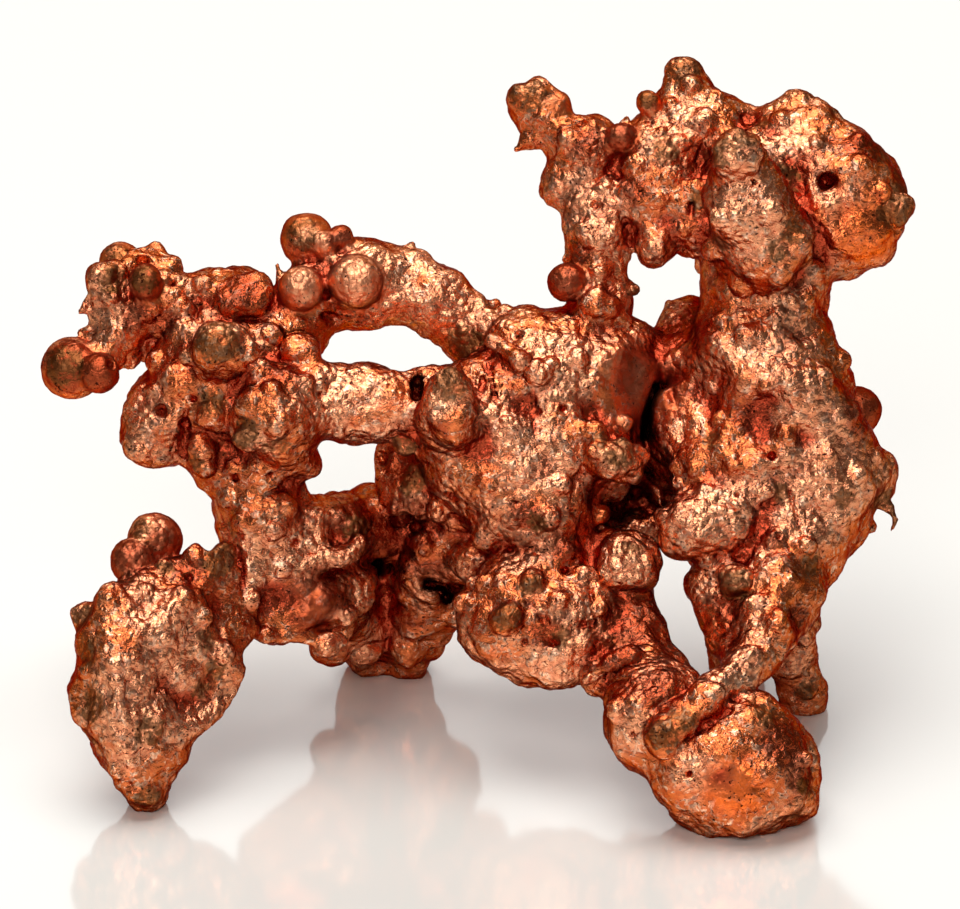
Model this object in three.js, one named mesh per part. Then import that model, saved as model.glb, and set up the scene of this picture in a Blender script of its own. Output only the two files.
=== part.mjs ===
// Native copper nugget: one branching, lumpy piece of natural metal about 40 mm across.
// Millimetres, +Z up. The nugget stands on five low points and leans away from the viewer, who is on -Y.
//
// The metal is described as lobes: balls and tapered limbs that flow into one another. Every lobe is
// placed on the leaning face of the nugget: "across" runs left to right, "up" runs up the leaning face,
// and "depth" runs straight into it. Negative depth sticks out towards the viewer.

import { BufferGeometry, Group, Mesh, MeshStandardMaterial, Vector3 } from 'three';
import { MarchingCubes } from 'three/addons/objects/MarchingCubes.js';
import { mergeVertices } from 'three/addons/utils/BufferGeometryUtils.js';

const LEAN = 25 * Math.PI / 180;   // how far the face leans back from upright
const REST_LEVEL = 0.85;           // height of the resting plane in the leaning face's own frame
const CENTRE_BACK = 9.65;          // from the face's foot back to the middle of the nugget
const FLOW = 1.1;                  // width over which big lobes flow into one another
const NECK = 0.45;                 // the same where a round bead sits on the metal
const FACET = 1.02;                // edge of the cubes that the skin is faceted on
const CELLS = 64;                  // cubes along each side; a power of two keeps shared corners identical
const CLEARANCE = 0.07;            // the skin keeps this far from the cubes' corners
const MIDDLE_HEIGHT = 15;          // height of the middle of the block of cubes
const MOST_FACETS = 40000;
const WELD = 1e-6;                 // corners closer than this, as a share of the block, are one
const COPPER = 0xb8633d;

// A lobe is a ball or a tapered limb between two balls, given as [across, up, depth, radius].

function place([across, up, depth]) {
  return new Vector3(across, depth, up);
}

function limb(from, to, blend = FLOW) {
  return {
    start: place(from),
    span: place(to).sub(place(from)),
    startRadius: from[3],
    endRadius: to[3],
    blend,
  };
}

function chain(...knots) {
  return knots.slice(1).map((knot, i) => limb(knots[i], knot));
}

function balls(...list) {
  return list.map((ball) => limb(ball, ball));
}

function beads(...list) {
  return list.map((ball) => limb(ball, ball, NECK));
}

function leftCluster() {
  return [
    ...balls(
      [-11.6, 20.6, 3.2, 3.4], [-13.9, 19.2, 2.6, 2.2], [-9.6, 19.3, 0.9, 2.3], [-9.2, 17.7, 1.4, 1.3],
      [-8.2, 16.9, 2.0, 0.95], [-12.6, 17.4, 2.0, 1.2], [-12.0, 16.5, 2.4, 1.0], [-16.3, 23.6, 2.8, 1.5],
      [-14.2, 24.2, 3.0, 1.6], [-12.0, 24.2, 3.4, 1.8], [-11.0, 24.2, 3.8, 1.7], [-16.9, 25.2, 2.6, 1.0],
      [-15.0, 25.9, 3.4, 1.0], [-9.0, 22.6, 3.6, 2.0], [-14.8, 18.3, 2.4, 1.5],
    ),
    ...chain([-16.5, 22.3, 2.4, 0.9], [-17.6, 21.4, 2.2, 0.9]),
    ...chain([-11.7, 21.6, 1.0, 1.3], [-11.7, 22.2, -1.2, 1.25]),
    ...beads(
      [-18.5, 21.25, 2.2, 1.45], [-17.2, 21.0, 1.0, 0.95], [-16.3, 26.0, 4.6, 1.05],
      [-15.1, 25.1, 1.4, 0.95], [-10.7, 24.5, 2.0, 1.15], [-8.0, 21.9, 1.6, 0.9],
    ),
  ];
}

function leftNeck() {
  return [
    ...chain(
      [-10.0, 16.5, 2.8, 2.1], [-9.7, 12.0, 3.2, 2.0], [-9.2, 10.6, 4.4, 1.9], [-6.9, 10.4, 7.0, 1.9],
    ),
    ...beads([-11.4, 12.6, 0.8, 0.9]),
  ];
}

function leftLeg() {
  return [
    ...balls(
      [-12.6, 9.8, 0.8, 2.3], [-15.9, 8.6, -0.6, 2.3], [-13.6, 8.6, -0.4, 2.6], [-16.0, 6.2, -0.6, 2.5],
      [-14.3, 6.6, -0.5, 2.6], [-15.3, 4.2, -0.2, 2.1], [-15.0, 10.4, 0.2, 1.7], [-12.7, 11.2, 1.0, 1.6],
      [-14.0, 11.3, 0.8, 1.2], [-13.0, 7.0, -0.4, 2.3],
    ),
    ...chain([-10.8, 11.2, 2.8, 1.8], [-12.6, 9.8, 0.8, 2.3]),
    ...chain([-16.5, 9.6, -0.4, 1.6], [-17.9, 10.0, -0.2, 0.6]),
    ...chain([-15.3, 4.2, -0.2, 2.1], [-15.1, 2.4, 0.1, 1.25], [-15.0, 1.7, 0.4, 0.95]),
    ...beads([-14.75, 13.3, 1.6, 1.3], [-15.7, 12.4, 0.7, 1.05]),
    ...chain([-14.55, 5.15, -3.0, 0.65], [-14.8, 4.1, -2.7, 0.65]),
  ];
}

function upperArm() {
  return [
    ...chain(
      [-9.0, 22.8, 3.6, 1.8], [-7.6, 24.6, 3.8, 1.6], [-5.2, 25.3, 4.4, 1.95], [-3.4, 25.2, 4.6, 1.7],
      [-1.7, 24.3, 4.6, 1.6], [0.2, 22.7, 4.3, 1.5],
    ),
    ...balls([-0.5, 22.4, 6.2, 1.0]),
    ...beads(
      [-7.75, 27.2, 4.2, 1.25], [-6.7, 27.1, 3.4, 0.75], [-5.5, 25.2, 2.4, 1.25], [-8.0, 24.9, 2.0, 1.05],
    ),
  ];
}

function bridge() {
  return [
    ...chain([-7.6, 19.8, 1.8, 1.9], [-5.0, 19.5, 1.9, 1.75], [-2.2, 19.5, 2.0, 1.8]),
    ...chain([-1.1, 18.6, 1.6, 1.7], [-1.2, 19.6, -2.2, 1.15]),
  ];
}

function centreMass() {
  return [
    ...balls(
      [3.0, 21.0, 3.8, 3.2], [5.6, 20.6, 4.2, 3.0], [3.2, 17.2, 3.0, 3.0], [5.4, 17.4, 3.6, 2.4],
      [1.2, 17.0, 2.8, 2.2], [7.2, 22.0, 4.6, 1.6], [6.5, 17.5, 0.8, 1.6], [7.2, 14.6, 6.5, 2.0],
      [7.0, 17.0, 6.2, 1.6],
    ),
    ...beads([3.0, 21.0, 0.9, 0.65]),
  ];
}

function lowerMiddle() {
  return [
    ...chain([3.2, 15.0, 3.2, 2.2], [3.2, 11.5, 2.6, 2.4]),
    ...balls([2.2, 9.9, 2.0, 3.0], [4.0, 9.4, 2.0, 2.9]),
    ...chain([6.6, 11.0, 2.6, 1.6], [6.9, 9.0, 1.8, 1.8], [8.2, 6.4, 0.2, 2.0]),
    ...beads([7.0, 12.2, 1.6, 1.45], [1.5, 9.9, -0.8, 0.95], [2.5, 11.4, -0.2, 0.7]),
  ];
}

function lowerBack() {
  return [
    ...balls(
      [-2.8, 15.8, 4.6, 1.6], [-0.4, 15.6, 4.6, 2.0], [-1.6, 13.4, 6.6, 2.0], [-4.4, 13.4, 7.0, 1.1],
      [-6.0, 14.0, 6.4, 1.35], [-6.5, 11.0, 7.6, 1.8], [-3.8, 11.7, 8.6, 0.9], [-2.0, 12.1, 7.2, 1.5],
      [-6.8, 8.5, 9.4, 1.0],
    ),
    ...chain(
      [-1.8, 12.6, 7.6, 2.0], [-2.4, 10.4, 9.8, 1.8], [-3.0, 9.1, 11.4, 1.6], [-3.3, 8.0, 13.0, 1.3],
    ),
    ...chain([-6.5, 11.0, 7.6, 1.8], [-5.4, 9.6, 10.4, 1.5], [-5.0, 7.9, 12.9, 1.15]),
  ];
}

function foot() {
  return [
    ...balls(
      [12.1, 3.35, -2.1, 3.3], [12.7, 3.0, -1.8, 2.7], [10.4, 3.4, -2.4, 2.6], [8.4, 5.2, -1.6, 2.7],
    ),
    ...chain([5.8, 7.0, -0.2, 1.0], [7.2, 7.3, -0.2, 1.2]),
    ...chain(
      [8.6, 4.5, -4.4, 1.0], [10.4, 6.2, -4.0, 0.85], [12.0, 7.4, -2.6, 1.0], [13.5, 9.3, -0.4, 1.5],
      [14.0, 11.5, 1.6, 2.2],
    ),
  ];
}

function backSpike() {
  return chain(
    [14.8, 11.5, 4.5, 1.6], [14.8, 10.4, 6.0, 1.15], [14.7, 8.0, 8.2, 1.0], [15.3, 5.9, 9.6, 1.0],
  );
}

function rightMass() {
  return [
    ...balls(
      [13.2, 21.4, 4.0, 3.6], [12.6, 17.4, 3.4, 3.6], [15.6, 16.4, 3.8, 3.3], [14.2, 13.6, 3.2, 3.1],
      [11.4, 14.6, 2.0, 2.4], [9.9, 13.8, 0.8, 1.5], [12.0, 11.8, 2.4, 1.7], [18.2, 16.3, 4.0, 1.2],
      [13.9, 10.6, 1.2, 1.6], [9.6, 17.5, 4.6, 2.0], [18.4, 16.2, 4.0, 1.1], [9.6, 21.6, 4.2, 1.3],
      [10.0, 22.9, 6.0, 1.7],
    ),
    ...chain([11.6, 11.4, 1.8, 1.8], [11.9, 9.6, 0.8, 1.5], [12.5, 8.0, -0.8, 1.2]),
    ...chain([12.0, 19.8, 0.4, 1.1], [15.0, 18.8, 0.8, 1.1]),
    ...chain([15.5, 19.0, 5.5, 1.4], [16.6, 19.2, 6.0, 1.0]),
    ...beads([17.7, 19.3, 6.4, 1.15], [11.9, 11.4, 0.6, 0.9]),
  ];
}

function headRight() {
  return [
    ...chain([13.3, 23.5, 4.0, 3.1], [13.4, 25.8, 4.0, 3.0]),
    ...balls(
      [16.5, 29.3, 4.2, 3.3], [17.0, 28.1, 4.4, 2.8], [15.2, 31.4, 4.2, 2.2], [14.0, 32.0, 4.4, 1.7],
      [13.2, 29.5, 4.2, 3.2],
    ),
    ...chain([12.6, 27.8, 2.0, 2.4], [12.3, 29.6, -0.6, 1.9], [12.0, 30.6, -1.8, 1.15]),
    ...beads([15.3, 33.1, 4.2, 0.95], [16.3, 32.9, 4.2, 0.6], [19.2, 28.3, 3.0, 0.8]),
  ];
}

function headLeft() {
  return [
    ...chain([10.0, 32.4, 4.8, 2.0], [9.8, 34.6, 5.0, 0.95]),
    ...balls(
      [11.5, 32.0, 4.6, 1.7], [8.6, 31.0, 4.6, 2.2], [8.0, 29.2, 4.2, 1.8], [5.8, 28.4, 4.2, 1.75],
      [5.2, 31.3, 4.4, 1.6], [4.2, 29.8, 4.4, 1.3], [10.2, 28.6, 4.2, 2.2], [8.3, 27.6, 3.6, 1.1],
    ),
    ...chain([5.2, 31.3, 4.4, 1.6], [3.6, 32.4, 4.6, 1.1], [2.7, 33.6, 4.8, 1.15]),
    ...chain([5.6, 27.2, 4.0, 1.5], [5.7, 25.4, 3.8, 1.2], [5.8, 24.0, 3.8, 1.3], [5.4, 22.4, 4.0, 1.6]),
    ...beads([3.6, 33.3, 4.6, 0.9], [8.3, 26.6, 2.8, 1.1], [4.2, 25.2, 2.8, 0.9]),
  ];
}

function farSide() {
  return [
    ...balls(
      [4.5, 19.3, 7.4, 2.8], [13.2, 17.6, 8.0, 3.2], [14.2, 29.2, 7.8, 3.0], [-11.8, 21.0, 6.6, 2.8],
      [9.0, 18.8, 6.8, 2.2], [13.2, 23.8, 7.0, 2.6], [8.8, 29.8, 6.8, 1.9], [12.6, 13.2, 7.2, 2.5],
      [-9.6, 14.6, 5.4, 1.6],
    ),
    ...chain([12.6, 13.2, 7.2, 2.5], [12.5, 10.6, 9.8, 1.6], [12.3, 7.8, 13.0, 1.25]),
    ...chain([3.6, 20.4, 8.6, 1.8], [2.4, 21.4, 11.0, 1.3]),
    ...chain([-12.4, 20.4, 8.4, 1.7], [-13.6, 19.2, 10.2, 1.2]),
    ...chain([12.8, 27.4, 9.6, 1.8], [11.4, 26.4, 11.4, 1.25]),
    ...beads(
      [-9.5, 20.0, 8.6, 1.2], [6.4, 21.4, 9.6, 1.3], [15.6, 21.6, 9.2, 1.3], [11.4, 16.4, 11.0, 1.4],
      [3.2, 17.2, 9.8, 1.4], [-13.4, 23.0, 8.2, 1.2], [16.2, 30.4, 10.0, 1.3], [14.9, 15.4, 10.2, 1.1],
      [0.4, 13.8, 8.6, 1.2], [-8.6, 12.4, 6.6, 1.0],
    ),
  ];
}

// Signed distance to one lobe: negative inside the metal.
function lobeDistance(lobe, point, scratch) {
  scratch.copy(point).sub(lobe.start);
  const length2 = lobe.span.lengthSq();
  const along = length2 > 0 ? Math.min(1, Math.max(0, scratch.dot(lobe.span) / length2)) : 0;
  const radius = lobe.startRadius + (lobe.endRadius - lobe.startRadius) * along;
  return scratch.addScaledVector(lobe.span, -along).length() - radius;
}

// Smooth union: near the join of two lobes the metal fills in over the blend width.
function flowTogether(a, b, blend) {
  const overlap = Math.max(blend - Math.abs(a - b), 0) / blend;
  return Math.min(a, b) - overlap * overlap * blend / 4;
}

// Turns a point of the standing nugget into across, depth and up on its leaning face.
function toFace(x, y, z, point) {
  const back = y + CENTRE_BACK;
  const high = z + REST_LEVEL;
  return point.set(
    x,
    back * Math.cos(LEAN) - high * Math.sin(LEAN),
    back * Math.sin(LEAN) + high * Math.cos(LEAN),
  );
}

function metalDistance(lobes, point, scratch) {
  let distance = Infinity;
  for (const lobe of lobes) {
    distance = flowTogether(distance, lobeDistance(lobe, point, scratch), lobe.blend);
  }
  return distance;
}

// Facets the skin of the metal on a block of cubes.
function skin(lobes) {
  const facets = new MarchingCubes(CELLS, undefined, false, false, MOST_FACETS);
  facets.isolation = 0;
  const point = new Vector3();
  const scratch = new Vector3();
  const offset = (i) => (i - CELLS / 2) * FACET;
  for (let k = 0; k < CELLS; k += 1) {
    for (let j = 0; j < CELLS; j += 1) {
      for (let i = 0; i < CELLS; i += 1) {
        toFace(offset(i), offset(j), offset(k) + MIDDLE_HEIGHT, point);
        const inside = -metalDistance(lobes, point, scratch);
        const clear = Math.max(Math.abs(inside), CLEARANCE);
        facets.setCell(i, j, k, inside < 0 ? -clear : clear);
      }
    }
  }
  facets.update();
  const loose = new BufferGeometry();
  const corners = facets.geometry.getAttribute('position').clone();
  corners.array = corners.array.slice(0, facets.count * 3);
  corners.count = facets.count;
  loose.setAttribute('position', corners);
  const geometry = mergeVertices(loose, WELD);
  const half = CELLS * FACET / 2;
  geometry.scale(half, half, half);
  geometry.translate(0, 0, MIDDLE_HEIGHT);
  return geometry;
}

// The low points are worn flat where the nugget rests.
function flattenFeet(geometry) {
  const corners = geometry.getAttribute('position');
  for (let i = 0; i < corners.count; i += 1) {
    corners.setZ(i, Math.max(corners.getZ(i), 0));
  }
  geometry.computeVertexNormals();
  return geometry;
}

const lobes = [
  ...leftCluster(),
  ...leftNeck(),
  ...leftLeg(),
  ...upperArm(),
  ...bridge(),
  ...centreMass(),
  ...lowerMiddle(),
  ...lowerBack(),
  ...foot(),
  ...backSpike(),
  ...rightMass(),
  ...headRight(),
  ...headLeft(),
  ...farSide(),
];

const nugget = new Mesh(
  flattenFeet(skin(lobes)),
  new MeshStandardMaterial({ color: COPPER, metalness: 1, roughness: 0.38 }),
);
nugget.name = 'nugget';

const specimen = new Group();
specimen.add(nugget);

export default specimen;
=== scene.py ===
"""Native copper nugget: one branching lump of natural metal on a pale floor."""

import math

import bpy
import numpy as np
import openvdb
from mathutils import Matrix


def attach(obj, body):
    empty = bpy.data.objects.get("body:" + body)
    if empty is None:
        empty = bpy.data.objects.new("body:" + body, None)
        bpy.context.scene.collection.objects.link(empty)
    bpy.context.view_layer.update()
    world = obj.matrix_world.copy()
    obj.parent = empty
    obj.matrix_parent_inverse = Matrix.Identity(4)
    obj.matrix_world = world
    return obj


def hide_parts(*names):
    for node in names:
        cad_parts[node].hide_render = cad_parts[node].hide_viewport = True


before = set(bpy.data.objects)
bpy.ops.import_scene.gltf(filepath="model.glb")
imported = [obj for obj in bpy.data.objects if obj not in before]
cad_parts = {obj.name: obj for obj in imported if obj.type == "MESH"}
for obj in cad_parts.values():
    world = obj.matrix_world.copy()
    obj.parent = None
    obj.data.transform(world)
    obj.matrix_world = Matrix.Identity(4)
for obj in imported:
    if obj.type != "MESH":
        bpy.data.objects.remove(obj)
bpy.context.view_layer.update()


# ---------------------------------------------------------------------------------------------------
# Left cluster
# A knot of round lobes at the end of the arms, with two beads held out to the left. Native copper grows
# as one mass of lobes, arms and beads. Each is given in millimetres on the nugget's leaning face:
# across, up the face, depth into it, and radius.
# ---------------------------------------------------------------------------------------------------

FLOW = 0.5                   # width over which big lobes flow into one another
NECK = 0.22                  # the same where a round bead sits on the metal
CREASE = 0.12                # the same for the smallest knobs and flakes

lobes = []                   # (start, end, start radius, end radius, blend width)
smooth_balls = []            # beads, whose skin is smoother than the rest
small_knobs = []             # knobs on the front skin: across, up, radius
holes = []                   # pits in the front skin: across, up, radius
cracks = []                  # thin clefts in the front skin: both ends, and radius
tarnish_spots = []           # where the skin has gone olive brown: across, up, radius
film_and_shade_spots = []              # where it keeps a dark red film, and where the same red is painted shade on parts in shadow


def grow(*knots, flow=FLOW):
    """A limb of metal that runs through several knots, or a ball where there is only one."""
    knots = [np.array(knot, dtype=np.float32) for knot in knots]
    ends = zip(knots[:-1], knots[1:]) if len(knots) > 1 else [(knots[0], knots[0])]
    for start, end in ends:
        lobes.append((start[[0, 2, 1]], end[[0, 2, 1]], start[3], end[3], flow))


def balls(*spots, flow=FLOW):
    for spot in spots:
        grow(spot, flow=flow)


def beads(*spots):
    balls(*spots, flow=NECK)
    smooth_balls.extend(spots)


balls(
    (-11.6, 20.6, 3.2, 3.4), (-13.9, 19.2, 2.6, 2.2), (-9.1, 19.1, 0.7, 2.3), (-8.6, 17.8, 1.4, 1.4),
    (-8.0, 16.9, 2.0, 1.0), (-12.6, 17.4, 2.0, 1.2), (-12.0, 16.5, 2.4, 1.0), (-16.3, 23.6, 2.8, 1.5),
    (-14.2, 24.2, 3.0, 1.6), (-12.0, 24.2, 3.4, 1.8), (-11.0, 24.2, 3.8, 1.7), (-16.9, 25.2, 2.6, 1.0),
    (-15.0, 25.9, 3.4, 1.0), (-9.0, 22.6, 3.6, 2.0), (-14.8, 18.3, 2.4, 1.5),
)
grow((-16.5, 22.3, 2.4, 0.9), (-17.6, 21.4, 2.2, 0.9))
grow((-11.7, 21.8, 0.8, 1.4), (-11.6, 22.1, -1.3, 1.42), flow=CREASE)
beads(
    (-18.5, 21.25, 2.2, 1.45), (-17.2, 21.0, 1.0, 0.95), (-16.3, 26.0, 4.6, 1.05), (-15.1, 25.2, 1.2, 0.85),
)
balls((-8.0, 21.9, 1.5, 0.9), flow=CREASE)
grow((-11.2, 24.4, 1.9, 1.0), (-10.3, 24.6, 2.1, 1.0), flow=NECK)

# the square block at the lower left of the knot
for corner in ((-15.35, 19.2), (-15.3, 17.65), (-14.1, 17.6)):
    grow((*corner, 1.9, 0.75), (*corner, 3.4, 0.75), flow=NECK)

# the curled rim on top, and the flakes along the left edge
grow(
    (-15.9, 25.9, 2.6, 0.35), (-15.6, 26.5, 3.2, 0.35), (-14.8, 26.75, 3.5, 0.35),
    (-13.9, 25.9, 3.0, 0.45), flow=CREASE,
)
grow((-17.3, 24.4, 2.4, 0.55), (-18.15, 23.8, 2.2, 0.14), flow=CREASE)
grow((-17.2, 23.0, 2.6, 0.7), (-18.0, 22.9, 2.5, 0.25), flow=CREASE)

small_knobs += [
    (-15.1, 24.2, 0.9), (-14.9, 22.4, 0.85), (-13.3, 22.9, 0.8), (-16.6, 24.4, 0.6), (-16.4, 22.9, 0.6),
    (-9.5, 22.7, 0.5), (-9.9, 21.0, 0.9), (-13.6, 20.6, 0.95), (-12.0, 19.2, 0.85), (-12.6, 17.7, 0.75),
    (-12.5, 16.7, 0.6), (-10.2, 19.6, 0.8), (-8.9, 18.6, 0.7), (-10.4, 18.0, 0.7), (-11.3, 17.4, 0.5),
    (-14.6, 21.4, 0.6), (-10.3, 22.0, 0.5), (-12.4, 24.9, 0.6), (-13.4, 24.0, 0.6), (-14.8, 20.1, 0.5),
    (-13.0, 21.8, 0.5), (-9.2, 20.2, 0.6), (-11.2, 20.6, 0.6), (-12.2, 23.6, 0.6), (-7.8, 20.5, 0.5),
    (-15.8, 21.6, 0.4), (-11.0, 16.7, 0.5), (-9.9, 16.9, 0.5),
]
holes += [
    (-15.3, 26.1, 0.33), (-17.7, 24.2, 0.2), (-16.7, 21.4, 0.24), (-13.9, 25.1, 0.3), (-14.4, 19.3, 0.2),
    (-13.3, 18.7, 0.33), (-11.0, 16.2, 0.2), (-9.4, 16.4, 0.18), (-12.9, 19.8, 0.18),
]
cracks += [
    (-13.2, 19.4, -13.4, 17.2, 0.16), (-13.9, 23.2, -12.9, 21.2, 0.16), (-16.2, 24.7, -14.2, 23.3, 0.14),
    (-11.4, 18.2, -9.9, 16.9, 0.13), (-9.0, 23.6, -8.9, 21.2, 0.16),
]
tarnish_spots += [
    (-11.7, 22.4, 0.9), (-15.1, 25.3, 0.6), (-16.3, 26.3, 0.6), (-18.9, 21.4, 0.9), (-12.0, 19.6, 0.5),
    (-10.5, 18.3, 0.6), (-9.0, 17.6, 0.5), (-16.6, 25.3, 0.6), (-12.8, 17.0, 0.4), (-10.6, 25.9, 0.3),
]
film_and_shade_spots += [
    (-18.6, 21.3, 0.9), (-15.8, 25.2, 0.9), (-15.4, 23.6, 0.5), (-11.8, 17.4, 0.6), (-10.8, 24.5, 1.0),
    (-17.2, 21.0, 0.7), (-14.4, 23.3, 0.5), (-8.8, 21.0, 0.5),
]


# ---------------------------------------------------------------------------------------------------
# Left neck and left leg
# A short column under the cluster, and the broad blade of metal that it ends in, which tapers to the
# point that the nugget rests on.
# ---------------------------------------------------------------------------------------------------

scoops = []                  # hollows worn or grown into the big lobes: across, up, depth, radius
worn_and_lit_spots = []             # where the skin is worn bright, and where bright highlights are painted on: across, up, radius

grow((-10.0, 16.5, 2.8, 2.1), (-9.7, 12.0, 3.2, 2.0), (-9.2, 10.6, 4.4, 1.9), (-6.9, 10.4, 7.0, 1.9))
balls((-11.5, 12.45, 0.1, 0.85), flow=CREASE)
balls(
    (-12.5, 9.6, 0.9, 2.3), (-12.6, 7.4, 0.3, 2.2), (-15.9, 8.6, -0.6, 2.3), (-13.6, 8.6, -0.4, 2.6),
    (-16.0, 6.2, -0.6, 2.5), (-14.3, 6.6, -0.5, 2.6), (-15.3, 4.2, -0.2, 2.1), (-15.0, 10.4, 0.2, 1.7),
    (-12.7, 11.2, 1.0, 1.6), (-14.0, 11.3, 0.8, 1.2), (-13.0, 7.0, -0.4, 2.3),
)
grow((-10.8, 11.2, 2.8, 1.8), (-12.6, 9.8, 0.8, 2.3))
grow((-16.5, 9.6, -0.4, 1.6), (-17.8, 10.0, -0.2, 0.7))
grow((-17.6, 9.9, -0.3, 0.6), (-18.4, 10.2, -0.3, 0.15), flow=CREASE)
grow((-15.3, 4.2, -0.2, 2.1), (-15.1, 2.4, 0.1, 1.25), (-15.0, 1.7, 0.4, 0.95))
beads((-14.75, 13.3, 1.6, 1.3), (-15.7, 12.4, 0.7, 1.05))

# the two flat faces in front, with the ridge between them
grow((-16.4, 10.4, -1.2, 1.2), (-16.3, 7.4, -2.0, 1.2), (-15.9, 4.6, -1.8, 1.1), (-15.4, 2.4, -0.8, 0.8))
scoops += [(-6.3, 6.5, -10.9, 11.9), (-23.3, 6.4, -7.6, 7.9)]

small_knobs += [
    (-16.35, 7.6, 0.45), (-16.3, 7.0, 0.5), (-16.2, 6.4, 0.45), (-16.25, 5.8, 0.5), (-16.1, 5.1, 0.45),
    (-16.05, 4.5, 0.5), (-15.8, 3.9, 0.45), (-15.6, 3.3, 0.4), (-15.4, 2.7, 0.4), (-14.6, 5.2, 0.55),
    (-14.75, 4.7, 0.6), (-14.9, 4.2, 0.5), (-12.7, 12.5, 0.65), (-14.3, 12.0, 0.35), (-9.2, 13.8, 0.6),
    (-10.6, 14.3, 0.6), (-9.0, 12.0, 0.6), (-10.3, 10.6, 0.6), (-15.2, 10.9, 0.6), (-17.6, 7.4, 0.5),
    (-16.2, 2.9, 0.4), (-12.4, 9.9, 0.5), (-11.6, 8.2, 0.5), (-14.8, 2.0, 0.4), (-8.6, 15.0, 0.5),
    (-11.3, 15.2, 0.5), (-13.3, 10.7, 0.5), (-16.6, 10.7, 0.4), (-15.6, 1.9, 0.3),
]
holes += [(-15.7, 2.3, 0.16), (-13.1, 11.7, 0.2), (-8.2, 13.2, 0.2), (-17.4, 9.2, 0.18)]
cracks += [
    (-10.9, 13.4, -10.6, 10.9, 0.15), (-9.6, 15.4, -8.6, 15.9, 0.15), (-12.2, 11.0, -11.5, 9.0, 0.14),
    (-12.6, 6.5, -11.7, 7.5, 0.1),
]
tarnish_spots += [
    (-14.7, 4.7, 0.6), (-17.7, 8.2, 0.7), (-17.4, 5.8, 0.7), (-18.0, 9.8, 0.6), (-11.5, 12.5, 0.8),
    (-14.3, 12.0, 0.3), (-12.6, 6.6, 0.4), (-11.9, 7.5, 0.4), (-15.0, 1.6, 0.5), (-17.6, 4.4, 0.4),
    (-12.3, 8.8, 0.4), (-15.4, 13.9, 0.5),
]
film_and_shade_spots += [(-15.8, 12.3, 0.7), (-14.2, 13.0, 0.6), (-13.0, 11.9, 0.5)]
worn_and_lit_spots += [
    (-16.3, 7.0, 0.5), (-16.1, 5.0, 0.5), (-15.8, 3.4, 0.4), (-14.0, 9.4, 0.9), (-9.0, 12.6, 1.0),
    (-13.4, 5.4, 0.7), (-13.6, 7.4, 1.2), (-9.8, 12.0, 1.2),
]


# ---------------------------------------------------------------------------------------------------
# Upper arm and bridge
# Two arms join the left cluster to the middle, one above the other, with a gap right through between
# them. A blunt knob stands out to the front where the lower one meets the middle.
# ---------------------------------------------------------------------------------------------------

grow(
    (-9.0, 22.8, 3.6, 1.8), (-7.6, 24.6, 3.8, 1.6), (-5.2, 25.3, 4.4, 1.95), (-3.4, 25.2, 4.6, 1.7),
    (-1.7, 24.3, 4.6, 1.6), (0.2, 22.7, 4.3, 1.5),
)
balls((-0.5, 22.4, 6.2, 1.0))
beads(
    (-7.75, 27.2, 4.2, 1.25), (-6.95, 27.0, 3.2, 0.65), (-6.2, 27.3, 3.5, 0.6), (-5.5, 25.2, 2.4, 1.25),
    (-8.0, 24.9, 2.0, 1.05),
)
grow((-7.6, 19.8, 1.8, 1.9), (-5.0, 19.5, 1.9, 1.75), (-2.2, 19.5, 2.0, 1.8))
grow((-9.0, 25.0, 3.4, 0.4), (-9.05, 26.0, 3.4, 0.2), flow=CREASE)
grow((-3.2, 26.6, 4.4, 0.45), (-2.9, 27.0, 4.4, 0.15), flow=CREASE)
grow((-1.15, 18.7, 1.6, 1.6), (-1.15, 18.9, -1.0, 1.4), flow=CREASE)
grow((-1.15, 19.2, -1.2, 1.38), (-1.15, 20.1, -1.5, 1.1), flow=CREASE)
balls((-1.15, 20.5, -2.1, 0.75), flow=CREASE)

small_knobs += [
    (-3.35, 18.6, 0.42), (-3.3, 17.7, 0.6), (-0.7, 18.9, 0.4), (-1.8, 18.9, 0.4), (-6.2, 18.4, 0.4),
    (-6.6, 26.3, 0.35), (-7.0, 24.2, 0.45), (-2.7, 23.6, 0.35), (0.9, 24.2, 0.35), (-5.6, 20.9, 0.35),
]
holes += [(-7.1, 20.1, 0.25), (-2.7, 20.6, 0.2), (-2.7, 19.9, 0.24), (-4.4, 17.3, 0.25), (-6.9, 24.6, 0.2)]
cracks += [(-7.0, 23.7, -6.4, 23.4, 0.25), (0.35, 20.8, 0.2, 18.4, 0.12)]
tarnish_spots += [
    (-1.15, 20.5, 0.8), (-3.3, 17.6, 0.5), (-7.9, 27.4, 0.7), (-0.5, 22.4, 0.8), (-9.0, 26.0, 0.2),
]
film_and_shade_spots += [
    (-3.2, 16.9, 0.9), (-3.35, 18.6, 0.4), (-1.6, 18.6, 0.3), (-6.3, 27.1, 0.4), (-0.2, 22.2, 0.6),
]
worn_and_lit_spots += [
    (-8.0, 24.9, 0.5), (-7.2, 26.8, 0.5), (-5.0, 26.0, 1.5), (-2.8, 25.4, 1.5), (-6.0, 19.8, 1.0),
    (-4.4, 19.2, 0.9), (-0.8, 19.4, 0.5),
]


# ---------------------------------------------------------------------------------------------------
# Middle
# The thick centre that everything branches from, the round-faced lobe hanging below it, and the arm that
# runs down behind them to the back feet.
# ---------------------------------------------------------------------------------------------------

gaps = []                    # deep dark gaps: both ends, radius, and how far in they go
calm_spots = []              # where the skin is smooth: across, up, radius

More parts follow.
